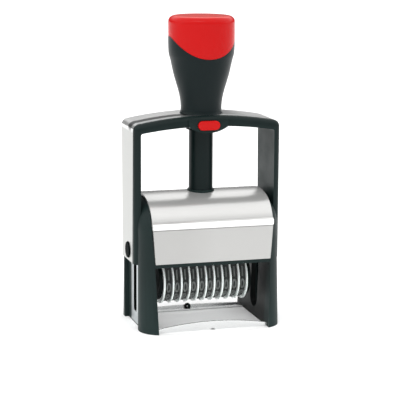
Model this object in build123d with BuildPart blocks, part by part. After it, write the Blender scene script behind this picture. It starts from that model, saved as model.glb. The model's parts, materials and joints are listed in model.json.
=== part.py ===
"""Self-inking numbering stamp: a press knob and steel arch over a housing with a number unit.

Millimetres. The origin is the centre of the imprint on the desk, +X is to the user's right,
-Y is the front and +Z is up. Every piece is modelled at rest, with the knob up.
"""

import os
from math import sqrt

from build123d import *

os.makedirs("parts", exist_ok=True)

# Imprint and stroke
imprint_width = 56.0
imprint_depth = 28.0
stroke = 31.0
digit_reach = 10.0
axle_z = stroke + digit_reach

# Clearances
run_gap = 0.05
slide_gap = 0.3
seat_gap = 0.1
panel_gap = 0.2
leg_gap = 0.3
cut_spare = 1.0
touch = 0.01

# Housing
side_room = 2.5
cheek_draft = 1.4
cheek_flare = 1.5
cheek_wall = 2.1
cheek_cover = 1.9
cheek_proud = 0.1
gap_change_z = 37.4
gap_top_z = 58.0
front_foot_y = -28.8
cheek_front_y = -26.0
rear_foot_y = 28.8
rear_hip_y = 27.2
rear_hip_z = 37.0
cheek_rounding = 12.0
front_sweep = 30.0
bridge_z = 64.0
lip_height = 1.8
lip_back = 3.6
lip_wall = 1.2

# Steel side plates and the slots that the axle runs in
side_plate_width = 16.8
side_plate_thick = 1.0
side_plate_top = 52.0
side_plate_foot = 0.5
axle_radius = 3.0
cheek_window_width = 12.0
cheek_window_top = 48.0
cheek_window_foot = 5.0

# Arch: steel strip over a black liner
arch_crown_z = 113.9
arch_drop = 4.1
arch_corner = 3.6
band_thick = 1.5
band_front_top = -11.4
band_front_foot = -9.4
band_rear_top = 14.2
band_rear_foot = 12.2
liner_depth = 29.0
liner_round = 3.1
leg_thick = 3.6
leg_end_z = 35.4
window_crown_z = 108.4
window_drop = 3.0
window_corner = 1.2
hub_width = 22.0
hub_depth = 30.0
chin_z = 104.8
chin_side_z = 108.4
hub_top_gap = 0.4

# Column, bush and return spring
column_radius = 6.5
column_wall = 1.8
column_top_z = 119.0
flange_radius = 11.0
flange_thick = 3.0
collar_rim = 0.7
collar_height = 2.0
bush_wall = 1.5
bush_top_z = 121.0
spring_radius = 4.4
spring_wire = 1.2
spring_turns = 7
seat_thick = 1.0
seat_plug = 4.0
bush_setback = 0.4

# Knob
knob_radius = 17.8
knob_foot_radius = 11.5
knob_neck_radius = 11.0
knob_neck_z = 118.0
knob_flare_radius = 12.8
knob_flare_z = 127.6
knob_belly_radius = 15.2
knob_belly_z = 136.0
knob_swell_radius = 16.6
knob_swell_z = 142.5
knob_shoulder_z = 156.0
knob_edge_round = 3.4
knob_crown_rise = 0.3
knob_crest_z = 166.1
knob_core_radius = 14.6
cap_roof = 3.5
core_roof = 2.2
knob_bore_gap = 0.6
knob_core_root = 3.0
cap_low_z = 143.7
cap_arc_radius = 19.6
cap_seam = 0.15

# Lock button on the front of the hub
button_width = 12.0
button_height = 4.9
button_z = 108.9
button_proud = 1.5
button_length = 4.0
button_travel = 1.6
button_spring_room = 2.0
button_round = 0.8

# Hood and front panel
sheet_thick = 1.2
hood_crest_z = 71.8
hood_bend_y = 12.8
hood_bend_z = 70.0
hood_side_y = 25.2
bead_proud = 1.1
bead_top_z = 58.6
bead_foot_z = 55.6
bead_round = 1.4
hood_rear_y = 24.3
hood_rear_foot_z = 43.0
panel_step = 0.3
panel_mid_y = -25.7
panel_mid_z = 47.0
panel_foot_y = -25.6
panel_foot_z = 37.5

# Base rails
rail_thick = 1.0
front_rail_y = -24.4
front_rail_crown = 4.9
front_rail_side = 2.1
rail_notch = 1.2
rear_rail_y = 22.6
rear_rail_crown = 2.2
rear_rail_side = 1.6
rear_rail_depth = 4.6
rear_rail_sheet = 0.8
stud_radius = 1.7
stud_bore = 0.7
stud_rise = 0.9
stud_thick = 1.4
stud_offset = -1.0

# Number unit
wheel_count = 10
wheel_pitch = 4.6
drum_drop = 17.8
flange_disc_radius = 12.7
flange_disc_thick = 0.8
band_width = 3.2
number_band_radius = 11.2
number_band_thick = 1.3
digit_relief = 0.5
nose_half_width = 2.3
nose_radius = 2.5
wheel_clear = 0.5
wheel_notch = 1.1
digit_count = 10
wheel_shaft_radius = 2.0
carrier_thick = 2.0
carrier_foot_radius = 10.5
carrier_boss_radius = 6.0
text_plate_thick = 2.0
text_plate_recess = 1.0
plate_window_margin = 0.8
plate_overhang = 1.0
carrier_rim = 2.0
rod_radius = 1.2
rod_offset = 2.4
rod_gap = 1.0
anvil_round = 1.0
nut_size = 3.2
nut_thick = 1.8

# Axle caps
cap_disc_radius = 4.3
cap_disc_proud = 0.7
cap_hole_gap = 0.3
cap_round = 0.4

# Ink pad and its tray
pad_air_gap = 0.3
pad_thick = 5.2
pad_margin = 1.0
tray_wall = 1.8
tray_front_y = -16.0
tray_roof = 1.6
tray_grip = 2.0
tray_lift = 1.0
ledge_thick = 1.1
ledge_length = 36.0

# Screws
screw_radius = 1.5
screw_head_radius = 2.6
screw_head_thick = 1.4
screw_circle_radius = 8.5
screw_length = 5.0
screw_count = 3

# Places that follow from the sizes above
half_gap_low = imprint_width / 2 + side_room
half_gap_mid = half_gap_low + cheek_draft
half_gap_high = half_gap_mid + cheek_flare
plate_back = half_gap_high + cheek_wall
channel_floor = plate_back + side_plate_thick
channel_depth = liner_depth + 2 * panel_gap
leg_inner = channel_floor + leg_gap
half_housing = leg_inner + cheek_cover
half_arch = leg_inner + leg_thick
liner_skin = half_arch - band_thick
bridge_top_z = hood_crest_z - sheet_thick - seat_gap
knob_core_top_z = knob_crest_z - cap_roof
knob_bore_top_z = knob_core_top_z - core_roof
collar_radius = column_radius + collar_rim
bush_radius = column_radius + bush_wall
drum_z = axle_z - drum_drop
carrier_inner = wheel_count * wheel_pitch / 2 + flange_disc_thick
carrier_outer = carrier_inner + carrier_thick
carrier_boss_end = half_gap_low - slide_gap
text_top_z = axle_z + digit_reach - text_plate_recess
band_nose_z = axle_z + digit_reach - digit_relief
pad_foot_z = axle_z + digit_reach + pad_air_gap
pad_width = imprint_width + pad_margin
pad_depth = imprint_depth + pad_margin
tray_width = pad_width + 2 * (seat_gap + tray_wall)
tray_foot_z = pad_foot_z + tray_lift
tray_top_z = pad_foot_z + pad_thick + tray_roof + seat_gap
hub_front_y = -hub_depth / 2
button_front_y = hub_front_y - button_proud
button_pocket_y = button_front_y + button_length + button_travel + button_spring_room


def save(piece, name):
    """Label one sub-part and write it."""
    piece.part.label = name
    export_step(piece.part, f"parts/{name}.step")


def arch_outline(inset):
    """The arch's outer outline seen from the front, moved inwards by inset."""
    half = half_arch - inset
    crown = arch_crown_z - inset
    with BuildSketch() as outline:
        with BuildLine():
            ThreePointArc((-half, crown - arch_drop), (0, crown), (half, crown - arch_drop))
            Line((half, crown - arch_drop), (half, leg_end_z))
            Line((half, leg_end_z), (-half, leg_end_z))
            Line((-half, leg_end_z), (-half, crown - arch_drop))
        make_face()
        fillet(outline.vertices().sort_by(Axis.Y)[-2:], arch_corner - inset)
    return outline.sketch


def side_outline(front_top, front_foot, spare):
    """The arch seen from the side between a front edge and the strip's rear edge, grown by spare."""
    with BuildSketch() as outline:
        Polygon(
            (front_top - spare, arch_crown_z + cut_spare),
            (band_rear_top + spare, arch_crown_z + cut_spare),
            (band_rear_foot + spare, leg_end_z - cut_spare),
            (front_foot - spare, leg_end_z - cut_spare),
            align=None,
        )
    return outline.sketch


def window_outline():
    """The open window inside the arch, with its slightly arched top."""
    with BuildSketch() as outline:
        with BuildLine():
            side_z = window_crown_z - window_drop
            ThreePointArc((-leg_inner, side_z), (0, window_crown_z), (leg_inner, side_z))
            Line((leg_inner, side_z), (leg_inner, 0))
            Line((leg_inner, 0), (-leg_inner, 0))
            Line((-leg_inner, 0), (-leg_inner, side_z))
        make_face()
        fillet(outline.vertices().sort_by(Axis.Y)[-2:], window_corner)
    return outline.sketch


def gap_outline(inset):
    """The gap between the cheeks seen from the front, open at the top, narrowed by inset."""
    half_widths = {
        0: half_gap_low,
        gap_change_z: half_gap_mid,
        gap_top_z: half_gap_high,
        2 * hood_crest_z: half_gap_high,
    }
    right_side = [(half - inset, level) for level, half in half_widths.items()]
    left_side = [(-half, level) for half, level in reversed(right_side)]
    with BuildSketch() as outline:
        Polygon(*right_side, *left_side, align=None)
    return outline.sketch


def crest_line(inset):
    """The hood's outer skin from the side, from the bead over the crest to the back, moved inwards."""
    rise = hood_crest_z - hood_bend_z
    crest_radius = (hood_bend_y**2 + rise**2) / (2 * rise)
    bend = 1 - inset / crest_radius
    bend_y = hood_bend_y * bend
    bend_z = hood_crest_z - crest_radius + (crest_radius - rise) * bend
    with BuildLine() as skin:
        crown = RadiusArc((-bend_y, bend_z), (bend_y, bend_z), crest_radius - inset)
        TangentArc(crown @ 0, (-hood_side_y + inset, bead_foot_z), tangent=-(crown % 0))
        TangentArc(crown @ 1, (hood_side_y - inset, bead_foot_z), tangent=crown % 1)
    return skin.line


def cheek_profile():
    """The housing's side outline, which follows the hood and stands a little proud of it."""
    half = hood_side_y + cheek_proud
    with BuildSketch() as outline:
        with BuildLine():
            add(crest_line(-cheek_proud))
            Polyline(
                (-half, bead_foot_z),
                (cheek_front_y, gap_change_z),
                (front_foot_y, 0),
                (rear_foot_y, 0),
                (rear_hip_y, rear_hip_z),
                (half, bead_foot_z),
            )
        make_face()
        knee = outline.vertices().sort_by_distance((cheek_front_y, gap_change_z))[0]
        fillet(knee, front_sweep)
    return outline.sketch


def hood_section(inset):
    """Closed section under one surface of the hood's sheet."""
    with BuildSketch() as outline:
        with BuildLine():
            add(crest_line(inset))
            Polyline(
                (hood_side_y - inset, bead_foot_z),
                (hood_rear_y - inset, hood_rear_foot_z),
                (0, hood_rear_foot_z),
                (0, bead_foot_z),
                (-hood_side_y + inset, bead_foot_z),
            )
        make_face()
    return outline.sketch


def band_loop(shrink):
    """Outline of a number band: round the drum below and over the anvil's nose above."""
    with BuildSketch() as outline:
        with Locations((0, drum_z)):
            Circle(number_band_radius - shrink)
        with Locations(
            (-nose_half_width, band_nose_z - nose_radius),
            (nose_half_width, band_nose_z - nose_radius),
        ):
            Circle(nose_radius - shrink)
        make_hull()
    return outline.sketch


# Housing: two cheeks, the bridge under the hood, the front lip, the rear bar and the tray ledges
with BuildPart() as housing:
    with BuildSketch(Plane.YZ.offset(-half_housing)):
        add(cheek_profile())
    extrude(amount=2 * half_housing)
    rounded = housing.edges().filter_by(
        lambda edge: abs(edge.center().X) > half_housing - touch and edge.center().Z > touch
    )
    fillet(rounded, cheek_rounding)
    with BuildSketch(Plane.XZ):
        add(gap_outline(0))
    extrude(amount=2 * abs(front_foot_y), both=True, mode=Mode.SUBTRACT)
    with BuildSketch(Plane.YZ.offset(-half_gap_high)):
        add(hood_section(sheet_thick + seat_gap))
        with Locations((0, bridge_z / 2)):
            Rectangle(4 * hood_side_y, bridge_z, mode=Mode.SUBTRACT)
    extrude(amount=2 * half_gap_high)
    lip_top_z = panel_foot_z - seat_gap
    with BuildSketch(Plane.XY.offset(lip_top_z - lip_height)):
        with Locations((0, panel_foot_y + lip_back / 2)):
            Rectangle(2 * half_gap_mid, lip_back)
    extrude(amount=lip_height)
    with BuildSketch(Plane.XY.offset(lip_top_z)):
        with Locations((0, panel_foot_y + lip_back - lip_wall / 2)):
            Rectangle(2 * half_gap_high, lip_wall)
    extrude(amount=lip_height * 2)
    with BuildSketch(Plane.XY.offset(hood_rear_foot_z)):
        with Locations((0, hood_rear_y - sheet_thick - seat_gap - lip_wall)):
            Rectangle(2 * half_gap_high, lip_wall * 2)
    extrude(amount=lip_height)
    with BuildSketch(Plane.XY.offset(tray_foot_z - slide_gap - ledge_thick)):
        ledge_inner = tray_width / 2 - tray_wall + panel_gap
        for side in (-1, 1):
            with Locations((side * (ledge_inner + half_gap_high) / 2, tray_front_y + ledge_length / 2)):
                Rectangle(half_gap_high - ledge_inner, ledge_length)
    extrude(amount=ledge_thick)
    for side in (-1, 1):
        with BuildSketch(Plane.XY):
            with Locations((side * (channel_floor + half_housing) / 2, 0)):
                Rectangle(half_housing - channel_floor, channel_depth)
        extrude(amount=2 * hood_crest_z, mode=Mode.SUBTRACT)
        with BuildSketch(Plane.XY.offset(side_plate_foot)):
            with Locations((side * (channel_floor - side_plate_thick / 2), 0)):
                Rectangle(side_plate_thick, side_plate_width + 2 * seat_gap)
        extrude(amount=side_plate_top + seat_gap - side_plate_foot, mode=Mode.SUBTRACT)
        with BuildSketch(Plane.YZ.offset(side * plate_back)):
            with Locations((0, (cheek_window_foot + cheek_window_top) / 2)):
                SlotOverall(cheek_window_top - cheek_window_foot, cheek_window_width, rotation=90)
        extrude(amount=-side * plate_back, mode=Mode.SUBTRACT)
    with BuildSketch(Plane.XY.offset(bridge_z)):
        Circle(column_radius + seat_gap)
    extrude(amount=bridge_z, mode=Mode.SUBTRACT)
    with BuildSketch(Plane.XY.offset(bridge_z)):
        with PolarLocations(screw_circle_radius, screw_count, start_angle=90):
            Circle(screw_radius)
    extrude(amount=screw_length - flange_thick, mode=Mode.SUBTRACT)
save(housing, "housing")

# Steel side plates with the axle's slots
for side, name in ((-1, "side_plate_left"), (1, "side_plate_right")):
    with BuildPart() as side_plate:
        with BuildSketch(Plane.YZ.offset(side * plate_back)):
            plate_mid = (side_plate_foot + side_plate_top) / 2
            with Locations((0, plate_mid)):
                Rectangle(side_plate_width, side_plate_top - side_plate_foot)
            slot_foot = axle_z - stroke - axle_radius - slide_gap
            slot_top = axle_z + axle_radius + slide_gap
            with Locations((0, (slot_foot + slot_top) / 2)):
                SlotOverall(
                    slot_top - slot_foot, 2 * (axle_radius + run_gap), rotation=90, mode=Mode.SUBTRACT
                )
        extrude(amount=side * side_plate_thick)
    save(side_plate, name)

# Front rail of the base, low at its ends, with the centre notch
with BuildPart() as front_rail:
    half_rail = half_gap_low - seat_gap
    with BuildSketch(Plane.XZ.offset(-front_rail_y)):
        with BuildLine():
            ThreePointArc((-half_rail, front_rail_side), (0, front_rail_crown), (half_rail, front_rail_side))
            Line((half_rail, front_rail_side), (half_rail, 0))
            Line((half_rail, 0), (-half_rail, 0))
            Line((-half_rail, 0), (-half_rail, front_rail_side))
        make_face()
        Circle(rail_notch, mode=Mode.SUBTRACT)
    extrude(amount=rail_thick / 2, both=True)
save(front_rail, "front_rail")

# Rear rail: an angle with a low arched wall and a flat flange on the desk
with BuildPart() as rear_rail:
    with BuildSketch(Plane.XZ.offset(-rear_rail_y)):
        with BuildLine():
            ThreePointArc((-half_rail, rear_rail_side), (0, rear_rail_crown), (half_rail, rear_rail_side))
            Line((half_rail, rear_rail_side), (half_rail, 0))
            Line((half_rail, 0), (-half_rail, 0))
            Line((-half_rail, 0), (-half_rail, rear_rail_side))
        make_face()
    extrude(amount=rail_thick / 2, both=True)
    with BuildSketch(Plane.XY):
        with Locations((0, rear_rail_y - rear_rail_depth / 2)):
            Rectangle(2 * half_rail, rear_rail_depth)
    extrude(amount=rear_rail_sheet)
save(rear_rail, "rear_rail")

# Index mark of the rear rail: a small standing ring with a flat foot
with BuildPart() as rear_index_stud:
    with BuildSketch(Plane.XZ.offset(rail_thick / 2 + seat_gap - rear_rail_y)):
        with Locations((stud_offset, rear_rail_sheet + stud_rise)):
            Circle(stud_radius)
            Circle(stud_bore, mode=Mode.SUBTRACT)
        with Locations((stud_offset, rear_rail_sheet - stud_radius / 2)):
            Rectangle(2 * stud_radius, stud_radius, mode=Mode.SUBTRACT)
    extrude(amount=stud_thick)
save(rear_index_stud, "rear_index_stud")

# Hood: one bent sheet from the front bead over the crest and down the back
with BuildPart() as hood:
    with BuildSketch(Plane.YZ.offset(-half_gap_high)):
        add(hood_section(0))
        add(hood_section(sheet_thick), mode=Mode.SUBTRACT)
        with BuildLine():
            bead_root_y = -hood_side_y + sheet_thick / 2
            FilletPolyline(
                (bead_root_y, bead_foot_z),
                (-hood_side_y - bead_proud, bead_foot_z),
                (-hood_side_y - bead_proud, bead_top_z),
                (bead_root_y, bead_top_z + sheet_thick),
                radius=bead_round,
            )
            Line((bead_root_y, bead_top_z + sheet_thick), (bead_root_y, bead_foot_z))
        make_face()
    extrude(amount=2 * half_gap_high)
    with BuildSketch(Plane.XZ):
        add(gap_outline(panel_gap))
    extrude(amount=2 * hood_side_y, both=True, mode=Mode.INTERSECT)
    with BuildSketch(Plane.XY.offset(bridge_z)):
        Circle(collar_radius + seat_gap)
    extrude(amount=bridge_z, mode=Mode.SUBTRACT)
    with BuildSketch(Plane.XZ.offset(-hood_rear_y + 3 * sheet_thick)):
        hole_foot_z = pad_foot_z - slide_gap
        hole_top_z = tray_top_z + slide_gap
        with Locations((0, (hole_foot_z + hole_top_z) / 2)):
            Rectangle(tray_width + 2 * slide_gap, hole_top_z - hole_foot_z)
    extrude(amount=-6 * sheet_thick, mode=Mode.SUBTRACT)
save(hood, "hood")

# Front panel below the bead, narrower at its foot as the gap between the cheeks is
with BuildPart() as front_panel:
    with BuildSketch(Plane.YZ.offset(-half_gap_high)):
        with BuildLine():
            panel_top_y = -hood_side_y - panel_step
            panel_top_z = bead_foot_z - seat_gap
            skin = ThreePointArc(
                (panel_top_y, panel_top_z), (panel_mid_y, panel_mid_z), (panel_foot_y, panel_foot_z)
            )
            Line(skin @ 1, (panel_foot_y + sheet_thick, panel_foot_z))
            ThreePointArc(
                (panel_foot_y + sheet_thick, panel_foot_z),
                (panel_mid_y + sheet_thick, panel_mid_z),
                (panel_top_y + sheet_thick, panel_top_z),
            )
            Line((panel_top_y + sheet_thick, panel_top_z), skin @ 0)
        make_face()
    extrude(amount=2 * half_gap_high)
    with BuildSketch(Plane.XZ):
        add(gap_outline(panel_gap))
    extrude(amount=2 * hood_side_y, mode=Mode.INTERSECT)
save(front_panel, "front_panel")

# Column: a tube with its flange under the bridge
with BuildPart() as column:
    with BuildSketch(Plane.XY.offset(bridge_z - flange_thick)):
        Circle(flange_radius)
        with PolarLocations(screw_circle_radius, screw_count, start_angle=90):
            Circle(screw_radius + seat_gap, mode=Mode.SUBTRACT)
    extrude(amount=flange_thick)
    with BuildSketch(Plane.XY.offset(bridge_z)):
        Circle(column_radius)
    extrude(amount=column_top_z - bridge_z)
    with BuildSketch(Plane.XY.offset(bridge_z - flange_thick)):
        Circle(column_radius - column_wall)
    extrude(amount=column_top_z, mode=Mode.SUBTRACT)
save(column, "column")

# Collar round the column's foot, standing on the bridge through the hood
with BuildPart() as column_collar:
    with BuildSketch(Plane.XY.offset(bridge_top_z)):
        Circle(collar_radius)
        Circle(column_radius + seat_gap, mode=Mode.SUBTRACT)
    extrude(amount=collar_height)
save(column_collar, "column_collar")

# Three screws that hold the flange to the bridge, from below
with BuildPart() as flange_screws:
    with BuildSketch(Plane.XY.offset(bridge_z - flange_thick - screw_head_thick)):
        with PolarLocations(screw_circle_radius, screw_count, start_angle=90):
            Circle(screw_head_radius)
    extrude(amount=screw_head_thick)
    with BuildSketch(Plane.XY.offset(bridge_z - flange_thick)):
        with PolarLocations(screw_circle_radius, screw_count, start_angle=90):
            Circle(screw_radius)
    extrude(amount=screw_length)
save(flange_screws, "flange_screws")

# Plug in the column's top that carries the return spring
with BuildPart() as spring_seat:
    with BuildSketch(Plane.XY.offset(column_top_z)):
        Circle(spring_radius + spring_wire)
    extrude(amount=seat_thick)
    with BuildSketch(Plane.XY.offset(column_top_z - seat_plug)):
        Circle(column_radius - column_wall - seat_gap)
    extrude(amount=seat_plug)
save(spring_seat, "spring_seat")

# Washer under the knob's roof that takes the spring's push
with BuildPart() as spring_washer:
    with BuildSketch(Plane.XY.offset(knob_bore_top_z - seat_thick)):
        Circle(spring_radius + spring_wire)
    extrude(amount=seat_thick)
save(spring_washer, "spring_washer")

# Return spring inside the knob
spring_foot_z = column_top_z + seat_thick + spring_wire / 2
spring_head_z = knob_bore_top_z - seat_thick - spring_wire / 2
spring_height = spring_head_z - spring_foot_z
with BuildPart() as return_spring:
    with BuildLine():
        spring_pitch = spring_height / spring_turns
        coil = Helix(spring_pitch, spring_height, spring_radius, center=(0, 0, spring_foot_z))
    with BuildSketch(Plane(origin=coil @ 0, z_dir=coil % 0)):
        Circle(spring_wire / 2)
    sweep(is_frenet=True)
save(return_spring, "return_spring")

# Arch band: polished steel strip bent over the liner, narrower towards the legs' ends
with BuildPart() as arch_band:
    with BuildSketch(Plane.XZ):
        add(arch_outline(0))
        add(arch_outline(band_thick), mode=Mode.SUBTRACT)
    extrude(amount=liner_depth / 2, both=True)
    with BuildSketch(Plane.YZ):
        add(side_outline(band_front_top, band_front_foot, 0))
    extrude(amount=half_arch, both=True, mode=Mode.INTERSECT)
    with BuildSketch(Plane.XY.offset(window_crown_z)):
        Circle(bush_radius + seat_gap)
    extrude(amount=arch_crown_z, mode=Mode.SUBTRACT)
    with BuildSketch(Plane.YZ):
        with Locations((0, axle_z)):
            Circle(cap_disc_radius + cap_hole_gap)
    extrude(amount=half_arch, both=True, mode=Mode.SUBTRACT)
save(arch_band, "arch_band")

# Arch liner: the black inner arch with its front rim, the hub round the bush and the button's pocket
with BuildPart() as arch_liner:
    with BuildSketch(Plane.XZ):
        add(arch_outline(0))
    extrude(amount=liner_depth / 2, both=True)
    front_rim = arch_liner.faces().sort_by(Axis.Y)[0].edges().filter_by(
        lambda edge: edge.center().Z > leg_end_z + touch
    )
    fillet(front_rim, liner_round)
    with BuildSketch(Plane.YZ):
        add(side_outline(-liner_depth / 2, -liner_depth / 2, 0))
    extrude(amount=2 * half_arch, both=True, mode=Mode.INTERSECT)
    with BuildSketch(Plane.YZ):
        add(side_outline(band_front_top, band_front_foot, seat_gap))
    recess = extrude(amount=2 * half_arch, both=True, mode=Mode.PRIVATE)
    with BuildSketch(Plane.XZ):
        Rectangle(4 * half_arch, 4 * arch_crown_z)
        add(arch_outline(band_thick), mode=Mode.SUBTRACT)
    shell = extrude(amount=liner_depth, both=True, mode=Mode.PRIVATE)
    add(recess & shell, mode=Mode.SUBTRACT)
    with BuildSketch(Plane.XZ):
        add(window_outline())
    extrude(amount=liner_depth, both=True, mode=Mode.SUBTRACT)
    with BuildSketch(Plane.XZ):
        with BuildLine():
            half_hub = hub_width / 2
            chin = ThreePointArc((-half_hub, chin_side_z), (0, chin_z), (half_hub, chin_side_z))
            hub_top_z = arch_crown_z - band_thick - hub_top_gap
            Polyline(chin @ 1, (half_hub, hub_top_z), (-half_hub, hub_top_z), chin @ 0)
        make_face()
    extrude(amount=hub_depth / 2, both=True)
    with BuildSketch(Plane.XY.offset(chin_z - cut_spare)):
        Circle(bush_radius + seat_gap)
    extrude(amount=arch_crown_z - chin_z + 2 * cut_spare, mode=Mode.SUBTRACT)
    with BuildSketch(Plane.XZ.offset(-button_pocket_y)):
        with Locations((0, button_z)):
            SlotOverall(button_width + 2 * panel_gap, button_height + 2 * panel_gap)
    extrude(amount=hub_depth, mode=Mode.SUBTRACT)
    with BuildSketch(Plane.YZ):
        with Locations((0, axle_z)):
            Circle(axle_radius + run_gap)
    extrude(amount=2 * half_arch, both=True, mode=Mode.SUBTRACT)
save(arch_liner, "arch_liner")

# Bush that guides the column and joins the hub to the knob
with BuildPart() as column_bush:
    with BuildSketch(Plane.XY.offset(chin_z + bush_setback)):
        Circle(bush_radius)
        Circle(column_radius + run_gap, mode=Mode.SUBTRACT)
    extrude(amount=bush_top_z - chin_z - bush_setback)
save(column_bush, "column_bush")


def knob_profile():
    """Half section of the whole knob, from its foot on the arch up to the flat, crowned top."""
    with BuildSketch() as half:
        with BuildLine():
            base = Line((0, arch_crown_z), (knob_foot_radius, arch_crown_z))
            side = Spline(
                base @ 1,
                (knob_neck_radius, knob_neck_z),
                (knob_flare_radius, knob_flare_z),
                (knob_belly_radius, knob_belly_z),
                (knob_swell_radius, knob_swell_z),
                (knob_radius, knob_shoulder_z),
                tangents=((-1, 2), (0, 1)),
            )
            rim_z = knob_crest_z - knob_crown_rise
            wall = Line(side @ 1, (knob_radius, rim_z - knob_edge_round))
            rim = TangentArc(wall @ 1, (knob_radius - knob_edge_round, rim_z), tangent=wall % 1)
            top = TangentArc((0, knob_crest_z), rim @ 1, tangent=(1, 0))
            Line(top @ 0, base @ 0)
        make_face()
    return half.sketch


def below_cap(lift):
    """Everything under the cap's arched edge, seen from the front."""
    with BuildSketch() as region:
        with BuildLine():
            half = knob_radius + cut_spare
            side_z = cap_low_z + cap_arc_radius - sqrt(cap_arc_radius**2 - half**2)
            edge = ThreePointArc((-half, side_z + lift), (0, cap_low_z + lift), (half, side_z + lift))
            foot_z = arch_crown_z - cut_spare
            Polyline(edge @ 1, (half, foot_z), (-half, foot_z), edge @ 0)
        make_face()
    return region.sketch


# Knob grip: black, with the core that the cap sits on and the bore for column and spring
with BuildPart() as knob_grip:
    with BuildSketch(Plane.XZ):
        add(knob_profile())
    revolve(axis=Axis.Z)
    with BuildSketch(Plane.XZ):
        add(below_cap(0))
    extrude(amount=2 * knob_radius, both=True, mode=Mode.INTERSECT)
    with BuildSketch(Plane.XY.offset(cap_low_z - knob_core_root)):
        Circle(knob_core_radius)
    extrude(amount=knob_core_top_z - cap_low_z + knob_core_root)
    with BuildSketch(Plane.XY.offset(arch_crown_z - cut_spare)):
        Circle(bush_radius + seat_gap)
    extrude(amount=bush_top_z + seat_gap - arch_crown_z + cut_spare, mode=Mode.SUBTRACT)
    with BuildSketch(Plane.XY.offset(arch_crown_z)):
        Circle(column_radius + knob_bore_gap)
    extrude(amount=knob_bore_top_z - arch_crown_z, mode=Mode.SUBTRACT)
save(knob_grip, "knob_grip")

# Knob cap: red shell with an arched lower edge
with BuildPart() as knob_cap:
    with BuildSketch(Plane.XZ):
        add(knob_profile())
    revolve(axis=Axis.Z)
    with BuildSketch(Plane.XZ):
        add(below_cap(cap_seam))
    extrude(amount=2 * knob_radius, both=True, mode=Mode.SUBTRACT)
    with BuildSketch(Plane.XY.offset(arch_crown_z)):
        Circle(knob_core_radius + cap_seam)
    extrude(amount=knob_core_top_z + cap_seam - arch_crown_z, mode=Mode.SUBTRACT)
save(knob_cap, "knob_cap")

# Lock button
with BuildPart() as lock_button:
    with BuildSketch(Plane.XZ.offset(-button_front_y - button_length)):
        with Locations((0, button_z)):
            SlotOverall(button_width, button_height)
    extrude(amount=button_length)
    fillet(lock_button.faces().sort_by(Axis.Y)[0].edges(), button_round)
save(lock_button, "lock_button")

# Stub axles and their caps
for side, name in ((-1, "left"), (1, "right")):
    with BuildPart() as axle_pin:
        with BuildSketch(Plane.YZ.offset(side * carrier_inner)):
            with Locations((0, axle_z)):
                Circle(axle_radius)
        extrude(amount=side * (liner_skin - carrier_inner))
    save(axle_pin, f"axle_pin_{name}")
    with BuildPart() as axle_cap:
        with BuildSketch(Plane.YZ.offset(side * liner_skin)):
            with Locations((0, axle_z)):
                Circle(cap_disc_radius)
        extrude(amount=side * (band_thick + cap_disc_proud))
        outer_face = axle_cap.faces().sort_by(Axis.X)[-1 if side > 0 else 0]
        fillet(outer_face.edges(), cap_round)
    save(axle_cap, f"axle_cap_{name}")

# Carrier plates at the two ends of the number unit
for side, name in ((-1, "carrier_left"), (1, "carrier_right")):
    with BuildPart() as carrier:
        with BuildSketch(Plane.YZ.offset(side * carrier_inner)):
            with Locations((0, drum_z)):
                Circle(carrier_foot_radius)
            with Locations((0, axle_z)):
                Circle(carrier_boss_radius)
            with BuildLine():
                plate_foot_z = text_top_z - text_plate_thick
                half_top = imprint_depth / 2 - plate_overhang
                Polyline(
                    (-carrier_boss_radius, drum_z),
                    (-carrier_boss_radius, axle_z),
                    (-half_top, plate_foot_z - carrier_rim),
                    (-half_top, plate_foot_z),
                    (half_top, plate_foot_z),
                    (half_top, plate_foot_z - carrier_rim),
                    (carrier_boss_radius, axle_z),
                    (carrier_boss_radius, drum_z),
                    close=True,
                )
            make_face()
        extrude(amount=side * carrier_thick)
        with BuildSketch(Plane.YZ.offset(side * carrier_outer)):
            with Locations((0, axle_z)):
                Circle(carrier_boss_radius)
        extrude(amount=side * (carrier_boss_end - carrier_outer))
        with BuildSketch(Plane.YZ.offset(side * carrier_inner)):
            with Locations((0, axle_z)):
                Circle(axle_radius + run_gap)
            with Locations((0, drum_z)):
                Circle(wheel_shaft_radius + run_gap)
        extrude(amount=side * carrier_boss_end, mode=Mode.SUBTRACT)
    save(carrier, name)

# Text plate: bare, with the window that the number bands print through
with BuildPart() as text_plate:
    with BuildSketch(Plane.XY.offset(text_top_z - text_plate_thick)):
        Rectangle(imprint_width, imprint_depth)
        window_depth = 2 * (nose_half_width + nose_radius + plate_window_margin)
        Rectangle(2 * carrier_inner, window_depth, mode=Mode.SUBTRACT)
    extrude(amount=text_plate_thick)
save(text_plate, "text_plate")

# Anvil under the bands' printing line, and the rods that tie the carriers together
with BuildPart() as anvil:
    with BuildSketch(Plane.YZ.offset(-carrier_inner)):
        anvil_top_z = band_nose_z - number_band_thick - panel_gap
        anvil_half = nose_half_width + nose_radius - number_band_thick - 2 * panel_gap
        anvil_foot_z = axle_z + rod_radius + rod_gap
        with Locations((0, (anvil_top_z + anvil_foot_z) / 2)):
            RectangleRounded(2 * anvil_half, anvil_top_z - anvil_foot_z, anvil_round)
    extrude(amount=2 * carrier_inner)
save(anvil, "anvil")

with BuildPart() as tie_rods:
    with BuildSketch(Plane.YZ.offset(-carrier_inner)):
        with Locations((-rod_offset, axle_z), (rod_offset, axle_z)):
            Circle(rod_radius)
    extrude(amount=2 * carrier_inner)
save(tie_rods, "tie_rods")

# Shaft that the number wheels turn on, with its two nuts
with BuildPart() as wheel_shaft:
    with BuildSketch(Plane.YZ.offset(-carrier_outer - nut_thick)):
        with Locations((0, drum_z)):
            Circle(wheel_shaft_radius)
    extrude(amount=2 * (carrier_outer + nut_thick))
save(wheel_shaft, "wheel_shaft")

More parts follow.
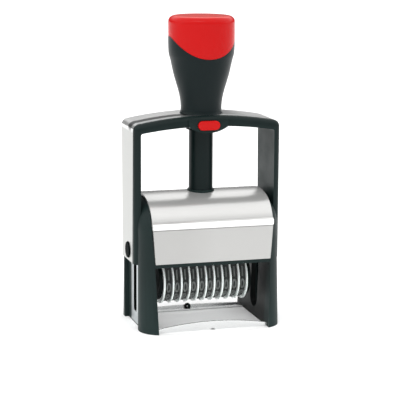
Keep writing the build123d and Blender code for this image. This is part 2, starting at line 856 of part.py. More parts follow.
with BuildPart() as shaft_nuts:
    for side in (-1, 1):
        with BuildSketch(Plane.YZ.offset(side * carrier_outer)):
            with Locations((0, drum_z)):
                RegularPolygon(nut_size, 6, major_radius=False)
                Circle(wheel_shaft_radius + run_gap, mode=Mode.SUBTRACT)
        extrude(amount=side * nut_thick)
save(shaft_nuts, "shaft_nuts")

# Fixed end disc left of the first wheel
with BuildPart() as end_disc:
    with BuildSketch(Plane.YZ.offset(-carrier_inner)):
        with Locations((0, drum_z)):
            Circle(flange_disc_radius)
            Circle(wheel_shaft_radius + run_gap, mode=Mode.SUBTRACT)
    extrude(amount=flange_disc_thick + panel_gap)
save(end_disc, "end_disc")

# Number wheels, each with its thumb disc, and the number bands
for index in range(wheel_count):
    middle_x = (index - (wheel_count - 1) / 2) * wheel_pitch
    space = wheel_pitch - flange_disc_thick
    with BuildPart() as number_wheel:
        with BuildSketch(Plane.YZ.offset(middle_x - space / 2 + slide_gap)):
            with Locations((0, drum_z)):
                Circle(number_band_radius - number_band_thick - wheel_clear)
                with PolarLocations(number_band_radius - number_band_thick - wheel_clear, digit_count):
                    Circle(wheel_notch, mode=Mode.SUBTRACT)
        extrude(amount=space - slide_gap)
        with BuildSketch(Plane.YZ.offset(middle_x + space / 2)):
            with Locations((0, drum_z)):
                Circle(flange_disc_radius)
        extrude(amount=flange_disc_thick)
        with BuildSketch(Plane.YZ.offset(middle_x - wheel_pitch)):
            with Locations((0, drum_z)):
                Circle(wheel_shaft_radius + run_gap)
        extrude(amount=2 * wheel_pitch, mode=Mode.SUBTRACT)
    save(number_wheel, f"number_wheel_{index + 1:02d}")
    with BuildPart() as number_band:
        with BuildSketch(Plane.YZ.offset(middle_x - band_width / 2)):
            add(band_loop(0))
            add(band_loop(number_band_thick), mode=Mode.SUBTRACT)
        extrude(amount=band_width)
    save(number_band, f"number_band_{index + 1:02d}")

# Ink pad and its tray, which pulls out at the back
with BuildPart() as ink_pad:
    with BuildSketch(Plane.XY.offset(pad_foot_z)):
        Rectangle(pad_width, pad_depth)
    extrude(amount=pad_thick)
save(ink_pad, "ink_pad")

with BuildPart() as pad_tray:
    tray_rear_y = hood_rear_y - sheet_thick - slide_gap
    with BuildSketch(Plane.XY.offset(tray_foot_z)):
        with Locations((0, (tray_front_y + tray_rear_y) / 2)):
            Rectangle(tray_width, tray_rear_y - tray_front_y)
    extrude(amount=tray_top_z - tray_foot_z)
    with BuildSketch(Plane.XY.offset(tray_foot_z)):
        Rectangle(pad_width + 2 * seat_gap, pad_depth + 2 * seat_gap)
    extrude(amount=pad_foot_z + pad_thick + seat_gap - tray_foot_z, mode=Mode.SUBTRACT)
    with BuildSketch(Plane.XZ.offset(-tray_rear_y)):
        with Locations((0, (tray_foot_z + tray_top_z) / 2)):
            Rectangle(tray_width, tray_top_z - tray_foot_z)
    extrude(amount=-(sheet_thick + slide_gap + tray_grip))
save(pad_tray, "pad_tray")
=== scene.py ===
"""Looks of the numbering stamp: materials, digits, ink pad, spring, floor, light and camera.

Lengths are in metres.
"""

import json
import math

import bmesh
import bpy
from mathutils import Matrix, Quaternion, Vector


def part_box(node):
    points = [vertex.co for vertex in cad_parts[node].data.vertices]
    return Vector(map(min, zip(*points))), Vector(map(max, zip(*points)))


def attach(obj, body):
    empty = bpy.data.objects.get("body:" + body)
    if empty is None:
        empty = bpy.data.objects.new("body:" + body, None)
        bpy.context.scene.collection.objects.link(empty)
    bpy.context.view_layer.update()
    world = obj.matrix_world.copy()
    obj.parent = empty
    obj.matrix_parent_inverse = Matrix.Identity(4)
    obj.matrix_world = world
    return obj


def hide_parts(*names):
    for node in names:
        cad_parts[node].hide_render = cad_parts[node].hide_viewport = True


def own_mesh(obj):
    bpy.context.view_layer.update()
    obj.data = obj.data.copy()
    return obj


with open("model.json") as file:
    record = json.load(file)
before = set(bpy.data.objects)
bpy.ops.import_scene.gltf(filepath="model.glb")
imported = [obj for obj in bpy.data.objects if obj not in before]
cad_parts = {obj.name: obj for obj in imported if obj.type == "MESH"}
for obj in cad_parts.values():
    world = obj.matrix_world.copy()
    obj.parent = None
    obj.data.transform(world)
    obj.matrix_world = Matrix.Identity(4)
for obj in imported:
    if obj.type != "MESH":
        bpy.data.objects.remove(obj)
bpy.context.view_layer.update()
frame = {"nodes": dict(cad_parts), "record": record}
nodes = frame["nodes"]

# Camera, as found from the photograph's edges
CAMERA_AZIMUTH = math.radians(16.36)
CAMERA_PITCH = math.radians(10.78)
CAMERA_DISTANCE = 0.86684
CAMERA_ROLL = math.radians(0.34)
CAMERA_TARGET = Vector((-0.00025, 0.00007, 0.06611))
CAMERA_LENS = 144.0
CAMERA_SENSOR = 36.0
CLIP_NEAR = 0.01
CLIP_FAR = 100.0

# Floor and key light
FLOOR_SIZE = 12.0
FLOOR_COLOR = (0.93, 0.93, 0.93)
FLOOR_ROUGHNESS = 0.8
FLOOR_SPECULAR = 0.1
KEY_PLACE = Vector((-0.5, -0.9, 1.3))
KEY_TARGET = Vector((0.0, 0.0, 0.06))
KEY_SIZE = (0.9, 0.5)
KEY_ENERGY = 4.0

# Brightness of the studio by its angle in degrees, from the rear horizon over the top to the front
STUDIO_STRENGTH = 1.98
STUDIO = {
    0.0: 0.07,
    18.0: 0.09,
    28.0: 1.00,
    38.0: 1.00,
    47.0: 0.72,
    72.0: 0.84,
    98.0: 0.90,
    128.0: 0.90,
    140.0: 0.62,
    155.0: 0.48,
    180.0: 0.24,
}

# Smudges and paler edges of the moulded plastics, the edges partly rubbed wear and partly a painted
# highlight, and found by their pointiness
SMUDGE_SCALE = 70.0
SMUDGE_SHARE = 0.5
SMUDGE_SMOOTHER = 0.05
SMUDGE_ROUGHER = 0.07
EDGE_START = 0.52
EDGE_FULL = 0.62
EDGE_LIFT = 2.2
EDGE_SHARE = 0.35

# Lines and clouds of the brushed metals
LINE_SCALE = 4000.0
LINE_STRETCH = 0.02
LINE_TONE = 0.94
LINE_SHARE = 0.55
CLOUD_SCALE = 45.0
CLOUD_SMOOTHER = 0.02
CLOUD_ROUGHER = 0.03

# Bead along the hood's front edge, which gets a painted highlight, and the panel below it, with
# painted shade towards the left
BEAD_LOW = 0.0556
BEAD_HIGH = 0.0590
BEAD_BLEND = 0.0002
BEAD_FRONT = -0.02
BEAD_DEPTH_BLEND = 0.001
PANEL_SHADE_START = 0.015
PANEL_SHADE_FULL = -0.03

# Painted reflections on the steel strip over the arch's top
STRIP_TOP_START = 0.104
STRIP_TOP_FULL = 0.109
STRIP_LINE_START = 0.0030
STRIP_LINE_FULL = -0.0028
STRIP_DARK_START = 0.0
STRIP_DARK_FULL = -0.016
STRIP_PATCH_START = 0.0
STRIP_PATCH_BLEND = 0.002
STRIP_PATCH_END = 0.034
STRIP_PATCH_FULL = 0.004
STRIP_GLINT_START = -0.0062
STRIP_GLINT_FULL = -0.0070

# Painted shade along the walls of the axle's slot
SLOT_HALF = 0.0032
SLOT_LOW = 0.0068
SLOT_HIGH = 0.0442
SLOT_BLEND = 0.0001

# Painted highlight on the top of the knob's cap
CAP_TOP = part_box("knob_cap")[1].z
CAP_HIGHLIGHT_DEPTH = 0.0012

# Painted shade on the inner walls under the hood
WALL_SHADE_HALF = 0.0335
WALL_SHADE_FRONT = -0.017
WALL_SHADE_TOP = 0.052
WALL_SHADE_MIDDLE_BLEND = 0.002
WALL_SHADE_SIDE_BLEND = 0.001
WALL_SHADE_FRONT_BLEND = 0.005
WALL_SHADE_TOP_BLEND = 0.004

# Number bands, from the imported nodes: round a drum at the foot and over a narrow nose at the head
WHEEL_COUNT = 10
BAND_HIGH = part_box("number_band_01")[1]
DRUM_LOW, DRUM_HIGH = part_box("number_wheel_01")
DRUM_CENTRE_Z = (DRUM_LOW.z + DRUM_HIGH.z) / 2
DRUM_RADIUS = BAND_HIGH.y
NOSE_RADIUS = 0.0025
NOSE_HALF = 0.0023

# Raised digits, as rows along the band from the drum's foot
DIGIT_RELIEF = 0.0005
DIGIT_SINK = 0.0002
DIGIT_HEIGHT = 0.0056
DIGIT_WIDTH = 0.0030
DIGIT_BOLD = 0.00012
DIGIT_CURVE_STEPS = 3
DIGIT_SLICES = 8
DIGIT_STEP = 0.0068
DIGIT_START = 0.0016
DIGIT_ROWS = 6
ZERO_ROW = 2

# Font: a digit's height as a share of its size, and a zero's width as a share of its height
FONT_HEIGHT = 0.73
FONT_ZERO_WIDTH = 0.78

# Ink pad
PAD_ROUND = 0.0007
PAD_ROUND_STEPS = 5
PAD_CUTS = 3
PAD_HOLLOW = 0.0002

# Return spring
SPRING_WIRE = 0.0012
SPRING_TURNS = 7
SPRING_STEPS = 28
SPRING_SIDES = 12


def smooth(obj):
    """Shade an object smooth."""
    for polygon in obj.data.polygons:
        polygon.use_smooth = True


def new_object(name, data):
    """Link a mesh, curve, light or camera to the scene as an object."""
    obj = bpy.data.objects.new(name, data)
    bpy.context.scene.collection.objects.link(obj)
    return obj


def scaled(color, factor):
    """A colour made lighter or darker by a factor."""
    return tuple(channel * factor for channel in color)


# Materials


class Finish:
    """A Principled material with the noise nodes that give it grain and variation."""

    def __init__(self, name, color, roughness, metallic=0.0, specular=0.5):
        self.material = bpy.data.materials.new(name)
        self.material.use_nodes = True
        self.tree = self.material.node_tree
        self.shader = self.tree.nodes["Principled BSDF"]
        self.shader.inputs["Base Color"].default_value = (*color, 1.0)
        self.shader.inputs["Roughness"].default_value = roughness
        self.shader.inputs["Metallic"].default_value = metallic
        self.shader.inputs["Specular IOR Level"].default_value = specular

    def node(self, kind, **values):
        """A new node with its plain properties set."""
        made = self.tree.nodes.new(kind)
        for key, value in values.items():
            setattr(made, key, value)
        return made

    def link(self, source, target):
        """Join an output socket to an input socket."""
        self.tree.links.new(source, target)

    def place(self, stretch=(1.0, 1.0, 1.0)):
        """Object coordinates in metres, stretched along each axis."""
        coordinates = self.node("ShaderNodeTexCoord")
        mapping = self.node("ShaderNodeMapping")
        mapping.inputs["Scale"].default_value = stretch
        self.link(coordinates.outputs["Object"], mapping.inputs["Vector"])
        return mapping.outputs["Vector"]

    def noise(self, scale, detail=2.0, stretch=(1.0, 1.0, 1.0)):
        """Noise with features about 1/scale metres across."""
        texture = self.node("ShaderNodeTexNoise")
        texture.inputs["Scale"].default_value = scale
        texture.inputs["Detail"].default_value = detail
        self.link(self.place(stretch), texture.inputs["Vector"])
        return texture.outputs["Fac"]

    def remap(self, source, low, high, start=0.3, full=0.7):
        """Map start..full, which defaults to the middle of a noise, to low..high."""
        mapped = self.node("ShaderNodeMapRange")
        mapped.inputs["From Min"].default_value = start
        mapped.inputs["From Max"].default_value = full
        mapped.inputs["To Min"].default_value = low
        mapped.inputs["To Max"].default_value = high
        self.link(source, mapped.inputs["Value"])
        return mapped.outputs["Result"]

    def multiply(self, first, second):
        """The product of two sockets."""
        product = self.node("ShaderNodeMath", operation="MULTIPLY")
        self.link(first, product.inputs[0])
        self.link(second, product.inputs[1])
        return product.outputs["Value"]

    def zone(self, *limits):
        """A socket that is 1 where the surface lies past every limit, and 0 elsewhere.

        A limit is an axis, the place where the zone starts and the place where it is full.
        """
        split = self.node("ShaderNodeSeparateXYZ")
        self.link(self.place(), split.inputs["Vector"])
        inside = None
        for axis, start, full in limits:
            share = self.remap(split.outputs[axis], 0.0, 1.0, start, full)
            inside = share if inside is None else self.multiply(inside, share)
        return inside

    def tint(self, source, color, amount=1.0):
        """Mix the base colour towards another, by up to an amount where the source is high."""
        socket = self.shader.inputs["Base Color"]
        mix = self.node("ShaderNodeMix", data_type="RGBA")
        # Inputs 6 and 7 are the node's two colours, and output 2 is their mix
        if socket.is_linked:
            self.link(socket.links[0].from_socket, mix.inputs[6])
        else:
            mix.inputs[6].default_value = socket.default_value
        mix.inputs[7].default_value = (*color, 1.0)
        self.link(self.remap(source, 0.0, amount), mix.inputs[0])
        self.link(mix.outputs[2], socket)

    def vary_roughness(self, source, low, high, start=0.3, full=0.7):
        """Drive the roughness between two values."""
        self.link(self.remap(source, low, high, start, full), self.shader.inputs["Roughness"])

    def bump(self, source, depth):
        """Add a relief of that depth in metres to the surface."""
        bump = self.node("ShaderNodeBump")
        bump.inputs["Distance"].default_value = depth
        self.link(source, bump.inputs["Height"])
        normal = self.shader.inputs["Normal"]
        if normal.is_linked:
            self.link(normal.links[0].from_socket, bump.inputs["Normal"])
        self.link(bump.outputs["Normal"], normal)


def moulded(name, color, roughness, specular, grain, depth, lift):
    """Moulded plastic: a fine spark-eroded grain, faint smudges and paler edges.

    The grain is in features per metre with that depth, and the lift is how bright the smudges
    are against the colour.
    """
    finish = Finish(name, color, roughness, specular=specular)
    finish.bump(finish.noise(grain, detail=4.0), depth)
    smudge = finish.noise(SMUDGE_SCALE, detail=3.0)
    finish.vary_roughness(smudge, roughness - SMUDGE_SMOOTHER, roughness + SMUDGE_ROUGHER)
    finish.tint(smudge, scaled(color, lift), SMUDGE_SHARE)
    # Paler edges: partly rubbed wear, partly a painted highlight along the edges
    pointiness = finish.node("ShaderNodeNewGeometry").outputs["Pointiness"]
    edges = finish.remap(pointiness, 0.0, 1.0, EDGE_START, EDGE_FULL)
    finish.tint(edges, scaled(color, EDGE_LIFT), EDGE_SHARE)
    return finish


def brushed(name, color, roughness, along, depth, metallic=1.0):
    """Metal brushed along one axis, satin where it isn't fully metallic."""
    finish = Finish(name, color, roughness, metallic)
    stretch = [1.0, 1.0, 1.0]
    stretch["xyz".index(along)] = LINE_STRETCH
    lines = finish.noise(LINE_SCALE, stretch=stretch)
    finish.bump(lines, depth)
    clouds = finish.noise(CLOUD_SCALE)
    smoothest = roughness - CLOUD_SMOOTHER
    roughest = roughness + CLOUD_ROUGHER
    finish.vary_roughness(clouds, smoothest, roughest, start=0.0, full=1.0)
    finish.tint(lines, scaled(color, LINE_TONE), LINE_SHARE)
    return finish


def housing_plastic():
    """The housing's black plastic, with painted shade on its inner walls under the hood."""
    finish = moulded(
        "black_plastic",
        color=(0.0090, 0.0170, 0.0165),
        roughness=0.46,
        specular=0.13,
        grain=2200.0,
        depth=3e-5,
        lift=1.25,
    )
    below = ("Z", WALL_SHADE_TOP, WALL_SHADE_TOP - WALL_SHADE_TOP_BLEND)
    behind = ("Y", WALL_SHADE_FRONT - WALL_SHADE_FRONT_BLEND, WALL_SHADE_FRONT)
    for side in (-1, 1):
        past_middle = ("X", 0.0, side * WALL_SHADE_MIDDLE_BLEND)
        inside = ("X", side * (WALL_SHADE_HALF + WALL_SHADE_SIDE_BLEND), side * WALL_SHADE_HALF)
        walls = finish.zone(below, past_middle, inside, behind)
        # Painted shade: the inner walls under the hood are darkened
        finish.tint(walls, (0.0015, 0.0030, 0.0030))
    return finish.material


def cap_plastic():
    """The red plastic of the knob's cap and the button, with a painted highlight on the cap's top.
    """
    finish = moulded(
        "red_plastic",
        color=(0.46, 0.006, 0.006),
        roughness=0.20,
        specular=0.10,
        grain=900.0,
        depth=3e-6,
        lift=1.05,
    )
    top = finish.zone(("Z", CAP_TOP - CAP_HIGHLIGHT_DEPTH, CAP_TOP))
    # Painted highlight: the top of the cap is made paler
    finish.tint(top, (0.62, 0.060, 0.050), amount=0.9)
    return finish.material


def hood_sheet():
    """The satin sheet of the hood, with a painted highlight on its bead, over a darker panel with
    painted shade towards the left.
    """
    finish = brushed(
        "silver_sheet",
        color=(0.53, 0.53, 0.52),
        roughness=0.24,
        along="x",
        depth=3e-7,
        metallic=0.5,
    )
    below = ("Z", BEAD_LOW, BEAD_LOW - BEAD_BLEND)
    left = ("X", PANEL_SHADE_START, PANEL_SHADE_FULL)
    finish.tint(finish.zone(below), (0.46, 0.46, 0.45))
    # Painted shade: the panel darkens towards the left
    finish.tint(finish.zone(below, left), (0.42, 0.42, 0.41), amount=0.8)
    # Painted highlight: the bead along the front edge is made near white
    bead = finish.zone(
        ("Z", BEAD_LOW, BEAD_LOW + BEAD_BLEND),
        ("Z", BEAD_HIGH + BEAD_BLEND, BEAD_HIGH),
        ("Y", BEAD_FRONT + BEAD_DEPTH_BLEND, BEAD_FRONT),
    )
    finish.tint(bead, (0.98, 0.98, 0.97))
    return finish.material


def arch_strip():
    """The steel strip over the arch, with a pale painted reflection on its top.

    A painted glint on the front edge has a line of painted shade behind it, which darkens to
    the left, and a grey patch of painted shade fades out to the right.
    """
    pale = (0.97, 0.97, 0.96)
    shade_grey = (0.46, 0.46, 0.46)
    dark = (0.035, 0.038, 0.038)
    glint = (0.80, 0.82, 0.81)
    top = ("Z", STRIP_TOP_START, STRIP_TOP_FULL)
    line = ("Y", STRIP_LINE_START, STRIP_LINE_FULL)
    left = ("X", STRIP_DARK_START, STRIP_DARK_FULL)
    edge = ("Y", STRIP_GLINT_START, STRIP_GLINT_FULL)
    patch = (
        ("X", STRIP_PATCH_END, STRIP_PATCH_FULL),
        ("X", STRIP_PATCH_START, STRIP_PATCH_START + STRIP_PATCH_BLEND),
    )
    finish = brushed(
        "steel_band", color=(0.43, 0.435, 0.42), roughness=0.28, along="z", depth=1e-6
    )
    # Painted reflections: a pale top, grey and dark painted shade behind the front edge, and a
    # painted glint on it
    finish.tint(finish.zone(top), pale)
    finish.tint(finish.zone(top, *patch), shade_grey)
    finish.tint(finish.zone(top, line), shade_grey, amount=0.25)
    finish.tint(finish.zone(top, line, left), dark, amount=0.92)
    finish.tint(finish.zone(top, edge), glint)
    return finish.material


def slotted_steel():
    """The steel of the side plates, with painted shade on the walls of the axle's slot."""
    finish = brushed(
        "slotted_plate", color=(0.46, 0.50, 0.51), roughness=0.28, along="z", depth=5e-7
    )
    # Painted shade on the walls of the axle's slot
    shaded_slot_walls = finish.zone(
        ("Y", -SLOT_HALF - SLOT_BLEND, -SLOT_HALF),
        ("Y", SLOT_HALF + SLOT_BLEND, SLOT_HALF),
        ("Z", SLOT_LOW - SLOT_BLEND, SLOT_LOW),
        ("Z", SLOT_HIGH + SLOT_BLEND, SLOT_HIGH),
    )
    finish.tint(shaded_slot_walls, (0.012, 0.014, 0.014))
    return finish.material


def rubber():
    """Dark rubber with a dusty bloom."""
    finish = Finish("band_rubber", (0.022, 0.025, 0.025), roughness=0.62, specular=0.3)
    finish.bump(finish.noise(4000.0, detail=4.0), depth=3e-5)
    finish.tint(finish.noise(400.0, detail=4.0), (0.07, 0.075, 0.074), amount=0.5)
    return finish.material


def rubber_digit():
    """The raised digits: the same rubber, paler where their faces are rubbed."""
    finish = Finish("digit_rubber", (0.12, 0.13, 0.127), roughness=0.55, specular=0.3)
    finish.bump(finish.noise(5000.0, detail=3.0), depth=2e-5)
    finish.tint(finish.noise(900.0, detail=3.0), (0.24, 0.26, 0.25), amount=0.7)
    return finish.material


def felt():
    """Ink-soaked felt under a woven cover."""
    finish = Finish("pad_felt", (0.012, 0.012, 0.02), roughness=0.75)
    threads = []
    for direction in ("X", "Y"):
        weave = finish.node("ShaderNodeTexWave", wave_type="BANDS", bands_direction=direction)
        weave.inputs["Scale"].default_value = 500.0
        weave.inputs["Distortion"].default_value = 0.6
        finish.link(finish.place(), weave.inputs["Vector"])
        threads.append(weave.outputs["Fac"])
    finish.bump(finish.multiply(*threads), depth=2e-4)
    finish.tint(finish.noise(120.0, detail=4.0), (0.035, 0.03, 0.06), amount=0.8)
    finish.shader.inputs["Sheen Weight"].default_value = 0.3
    return finish.material


black_arch = moulded(
    "black_arch",
    color=(0.0058, 0.0118, 0.0114),
    roughness=0.42,
    specular=0.12,
    grain=2200.0,
    depth=2e-5,
    lift=1.25,
).material
black_column = moulded(
    "black_column",
    color=(0.0028, 0.0080, 0.0080),
    roughness=0.34,
    specular=0.14,
    grain=3000.0,
    depth=1e-5,
    lift=1.25,
).material
black_grip = moulded(
    "black_grip",
    color=(0.0028, 0.0076, 0.0082),
    roughness=0.36,
    specular=0.14,
    grain=3000.0,
    depth=2e-5,
    lift=1.2,
).material
black_cap = moulded(
    "black_cap",
    color=(0.0030, 0.0050, 0.0050),
    roughness=0.65,
    specular=0.03,
    grain=2500.0,
    depth=2e-5,
    lift=1.2,
).material
grey_plastic = moulded(
    "dark_grey_plastic",
    color=(0.0070, 0.0100, 0.0100),
    roughness=0.60,
    specular=0.12,
    grain=2500.0,
    depth=3e-5,
    lift=1.2,
).material
white_plastic = moulded(
    "white_plastic",
    color=(0.86, 0.92, 0.90),
    roughness=0.32,
    specular=0.4,
    grain=2500.0,
    depth=1e-5,
    lift=1.05,
).material
steel_plate = brushed(
    "steel_plate", color=(0.68, 0.70, 0.70), roughness=0.28, along="z", depth=5e-7
).material
bright_rail = brushed(
    "bright_rail", color=(0.80, 0.81, 0.81), roughness=0.25, along="x", depth=2e-6
).material
brass_bar = brushed(
    "brass_bar", color=(0.65, 0.48, 0.20), roughness=0.3, along="x", depth=3e-6
).material
spring_steel = brushed(
    "spring_steel", color=(0.45, 0.46, 0.48), roughness=0.3, along="z", depth=2e-6
).material
slotted_plate = slotted_steel()
digit_rubber = rubber_digit()
pad_felt = felt()

# The finish of each slot in the record, and of the nodes that look different from their slot
SLOT_FINISHES = {
    "black_plastic": housing_plastic(),
    "black_grip": black_grip,
    "dark_grey_plastic": grey_plastic,
    "red_plastic": cap_plastic(),
    "white_plastic": white_plastic,
    "silver_sheet": hood_sheet(),
    "steel_band": arch_strip(),
    "steel_plate": steel_plate,
    "bright_rail": bright_rail,
    "brass_bar": brass_bar,
    "spring_steel": spring_steel,
    "band_rubber": rubber(),
    "pad_felt": pad_felt,
}
NODE_FINISHES = {
    "column": black_column,
    "column_bush": black_column,
    "arch_liner": black_arch,
    "axle_cap_left": black_cap,
    "axle_cap_right": black_cap,
    "side_plate_left": slotted_plate,
    "side_plate_right": slotted_plate,
}

for entry in frame["record"]["subparts"]:
    node_name = entry["node"]
    node_finish = NODE_FINISHES.get(node_name, SLOT_FINISHES[entry["material_slot"]])
    for material_slot in nodes[node_name].material_slots:
        material_slot.material = node_finish

# Raised digits round each band's drum and towards its nose


def loop_point(distance):
    """Point and outward normal of the band's outer line.

    The distance runs from the drum's foot, round its front and straight on to the nose.
    """
    rise = BAND_HIGH.z - NOSE_RADIUS - DRUM_CENTRE_Z
    span = math.hypot(rise, NOSE_HALF)
    tilt = math.asin((DRUM_RADIUS - NOSE_RADIUS) / span) - math.atan2(NOSE_HALF, rise)
    arc = (math.pi / 2 + tilt) * DRUM_RADIUS
    run = math.sqrt(span**2 - (DRUM_RADIUS - NOSE_RADIUS) ** 2)
    centre = Vector((0, 0, DRUM_CENTRE_Z))
    if distance <= arc:
        angle = distance / DRUM_RADIUS
        normal = Vector((0, -math.sin(angle), -math.cos(angle)))
        return centre + normal * DRUM_RADIUS, normal
    normal = Vector((0, -math.cos(tilt), math.sin(tilt)))
    along = Vector((0, math.sin(tilt), math.cos(tilt)))
    return centre + normal * DRUM_RADIUS + along * min(distance - arc, run), normal


def digit_form(text):
    """One digit, mirrored for printing, its height along Y, sliced across so that it can bend."""
    curve = bpy.data.curves.new("digit", "FONT")
    curve.body = text
    curve.align_x = "CENTER"
    curve.align_y = "CENTER"
    curve.size = DIGIT_HEIGHT / FONT_HEIGHT
    curve.resolution_u = DIGIT_CURVE_STEPS
    curve.offset = DIGIT_BOLD
    curve.extrude = (DIGIT_RELIEF + DIGIT_SINK) / 2
    holder = new_object("digit", curve)
    bpy.context.view_layer.update()
    mesh = bpy.data.meshes.new_from_object(holder)
    bpy.data.objects.remove(holder)
    form = bmesh.new()
    form.from_mesh(mesh)
    mirrored_scale = -DIGIT_WIDTH / (DIGIT_HEIGHT * FONT_ZERO_WIDTH)
    for vertex in form.verts:
        vertex.co.x *= mirrored_scale
    bmesh.ops.reverse_faces(form, faces=form.faces)
    for step in range(1, DIGIT_SLICES):
        level = (step / DIGIT_SLICES - 0.5) * DIGIT_HEIGHT
        geometry = form.verts[:] + form.edges[:] + form.faces[:]
        bmesh.ops.bisect_plane(form, geom=geometry, plane_co=(0, level, 0), plane_no=(0, 1, 0))
    return form


def bend_digit(form, middle_x, distance, target):
    """Lay one digit on the band at that distance and add it to the target mesh."""
    vertices = {}
    for vertex in form.verts:
        point, normal = loop_point(distance + vertex.co.y)
        lift = vertex.co.z + (DIGIT_RELIEF - DIGIT_SINK) / 2
        across = Vector((middle_x + vertex.co.x, 0, 0))
        vertices[vertex] = target.verts.new(point + normal * lift + across)
    for face in form.faces:
        target.faces.new([vertices[vertex] for vertex in face.verts])


def band_digits(number, forms):
    """All the raised digits of one band."""
    low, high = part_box(f"number_band_{number:02d}")
    target = bmesh.new()
    for row in range(DIGIT_ROWS):
        form = forms[(row - ZERO_ROW) % len(forms)]
        bend_digit(form, (low.x + high.x) / 2, DIGIT_START + row * DIGIT_STEP, target)
    mesh = bpy.data.meshes.new(f"digits_{number:02d}")
    target.to_mesh(mesh)
    mesh.materials.append(digit_rubber)
    return new_object(f"digits_{number:02d}", mesh)


digit_forms = [digit_form(str(value)) for value in range(10)]

for number in range(1, WHEEL_COUNT + 1):
    digits = band_digits(number, digit_forms)
    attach(digits, "print_unit")

# Ink pad: a felt block with rounded edges and a slightly hollow face


def pad_block():
    """The inked pad in place of its plain solid, never outside it, with its face down."""
    low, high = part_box("ink_pad")
    size = high - low
    form = bmesh.new()
    bmesh.ops.create_cube(form, size=1.0)
    for vertex in form.verts:
        vertex.co = (low + high) / 2 + Vector(a * b for a, b in zip(vertex.co, size))
    bmesh.ops.bevel(
        form,
        geom=form.edges[:],
        offset=PAD_ROUND,
        segments=PAD_ROUND_STEPS,
        profile=0.5,
        affect="EDGES",
    )
    broad_faces = [face for face in form.faces if face.calc_area() > PAD_ROUND**2]
    bmesh.ops.triangulate(form, faces=broad_faces)
    bmesh.ops.subdivide_edges(form, edges=form.edges[:], cuts=PAD_CUTS, use_grid_fill=True)
    for vertex in form.verts:
        if vertex.co.z < low.z + size.z / 4:
            across = (vertex.co.x - low.x) / size.x
            along = (vertex.co.y - low.y) / size.y
            # The product is 1/16 in the middle of the face
            vertex.co.z += PAD_HOLLOW * 16 * across * (1 - across) * along * (1 - along)
    mesh = bpy.data.meshes.new("felt_pad")
    form.to_mesh(mesh)
    return new_object("felt_pad", mesh)


felt_pad = pad_block()
smooth(felt_pad)
felt_pad.data.materials.append(pad_felt)
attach(felt_pad, "pad")
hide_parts("ink_pad")

# Return spring: the same coil as its solid


def coil_spring(low, high):
    """The coil as a round wire on a helix, from the foot to the head of its solid's box."""
    half_wire = SPRING_WIRE / 2
    radius = high.x - half_wire
    count = SPRING_TURNS * SPRING_STEPS
    form = bmesh.new()
    rings = []
    for index in range(count + 1):
        angle = 2 * math.pi * index / SPRING_STEPS
        outward = Vector((math.cos(angle), math.sin(angle), 0))
        rise = (high.z - low.z - SPRING_WIRE) * index / count
        middle = outward * radius + Vector((0, 0, low.z + half_wire + rise))
        ring = []
        for side in range(SPRING_SIDES):
            turn = 2 * math.pi * side / SPRING_SIDES
            offset = outward * math.cos(turn) + Vector((0, 0, math.sin(turn)))
            ring.append(form.verts.new(middle + offset * half_wire))
        rings.append(ring)
    for lower, upper in zip(rings, rings[1:]):
        for side in range(SPRING_SIDES):
            after = (side + 1) % SPRING_SIDES
            form.faces.new((lower[side], upper[side], upper[after], lower[after]))
    form.faces.new(rings[0])
    form.faces.new(reversed(rings[-1]))
    bmesh.ops.recalc_face_normals(form, faces=form.faces[:])
    mesh = bpy.data.meshes.new("spring_coil")
    form.to_mesh(mesh)
    return new_object("spring_coil", mesh)


spring_low, spring_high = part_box("return_spring")
spring_coil = coil_spring(spring_low, spring_high)
smooth(spring_coil)
spring_coil.data.materials.append(spring_steel)
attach(spring_coil, "base")
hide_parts("return_spring")
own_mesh(spring_coil)

# Floor, light and camera


def pale_floor():
    """A wide pale floor that the stamp stands on."""
    form = bmesh.new()
    bmesh.ops.create_grid(form, x_segments=1, y_segments=1, size=FLOOR_SIZE)
    mesh = bpy.data.meshes.new("floor")
    form.to_mesh(mesh)
    finish = Finish("floor", FLOOR_COLOR, FLOOR_ROUGHNESS, specular=FLOOR_SPECULAR)
    mesh.materials.append(finish.material)
    return new_object("floor", mesh)


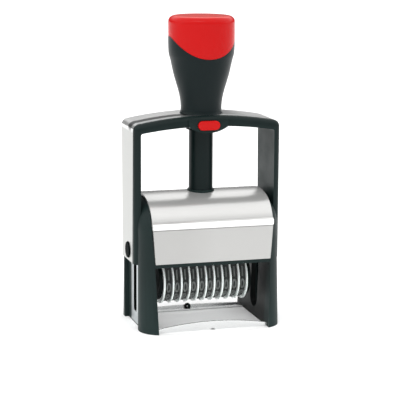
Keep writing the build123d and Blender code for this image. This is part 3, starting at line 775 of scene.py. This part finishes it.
def studio_world():
    """A world that is a strip studio in reflections: soft bands that run from left to right."""
    world = bpy.data.worlds.new("studio")
    world.use_nodes = True
    tree = world.node_tree
    background = tree.nodes["Background"]
    background.inputs["Strength"].default_value = STUDIO_STRENGTH
    coordinates = tree.nodes.new("ShaderNodeTexCoord")
    split = tree.nodes.new("ShaderNodeSeparateXYZ")
    tree.links.new(coordinates.outputs["Generated"], split.inputs["Vector"])
    angle = tree.nodes.new("ShaderNodeMath")
    angle.operation = "ARCTAN2"
    tree.links.new(split.outputs["Z"], angle.inputs[0])
    tree.links.new(split.outputs["Y"], angle.inputs[1])
    share = tree.nodes.new("ShaderNodeMapRange")
    share.inputs["From Max"].default_value = math.pi
    tree.links.new(angle.outputs["Value"], share.inputs["Value"])
    ramp = tree.nodes.new("ShaderNodeValToRGB")
    tree.links.new(share.outputs["Result"], ramp.inputs["Fac"])
    tree.links.new(ramp.outputs["Color"], background.inputs["Color"])
    elements = ramp.color_ramp.elements
    while len(elements) > 1:
        elements.remove(elements[-1])
    for degrees, level in STUDIO.items():
        element = elements[0] if degrees == 0.0 else elements.new(degrees / 180.0)
        element.position = degrees / 180.0
        element.color = (level, level, level, 1.0)
    return world


def key_light():
    """A rectangular area light that looks at the middle of the stamp."""
    lamp = bpy.data.lights.new("key", "AREA")
    lamp.shape = "RECTANGLE"
    lamp.size, lamp.size_y = KEY_SIZE
    lamp.energy = KEY_ENERGY
    key = new_object("key", lamp)
    key.location = KEY_PLACE
    key.rotation_euler = (KEY_TARGET - KEY_PLACE).to_track_quat("-Z", "Y").to_euler()


def photo_camera():
    """The camera at the photograph's viewing angle."""
    data = bpy.data.cameras.new("camera")
    data.lens = CAMERA_LENS
    data.sensor_width = CAMERA_SENSOR
    data.clip_start = CLIP_NEAR
    data.clip_end = CLIP_FAR
    camera = new_object("camera", data)
    forward = Vector(
        (
            math.sin(CAMERA_AZIMUTH) * math.cos(CAMERA_PITCH),
            math.cos(CAMERA_AZIMUTH) * math.cos(CAMERA_PITCH),
            -math.sin(CAMERA_PITCH),
        )
    )
    roll = Quaternion((0.0, 0.0, 1.0), CAMERA_ROLL)
    camera.location = CAMERA_TARGET - forward * CAMERA_DISTANCE
    camera.rotation_euler = (forward.to_track_quat("-Z", "Y") @ roll).to_euler()
    return camera


floor = pale_floor()
key_light()
bpy.context.scene.world = studio_world()
bpy.context.scene.camera = photo_camera()
bpy.context.scene.view_settings.view_transform = "Standard"
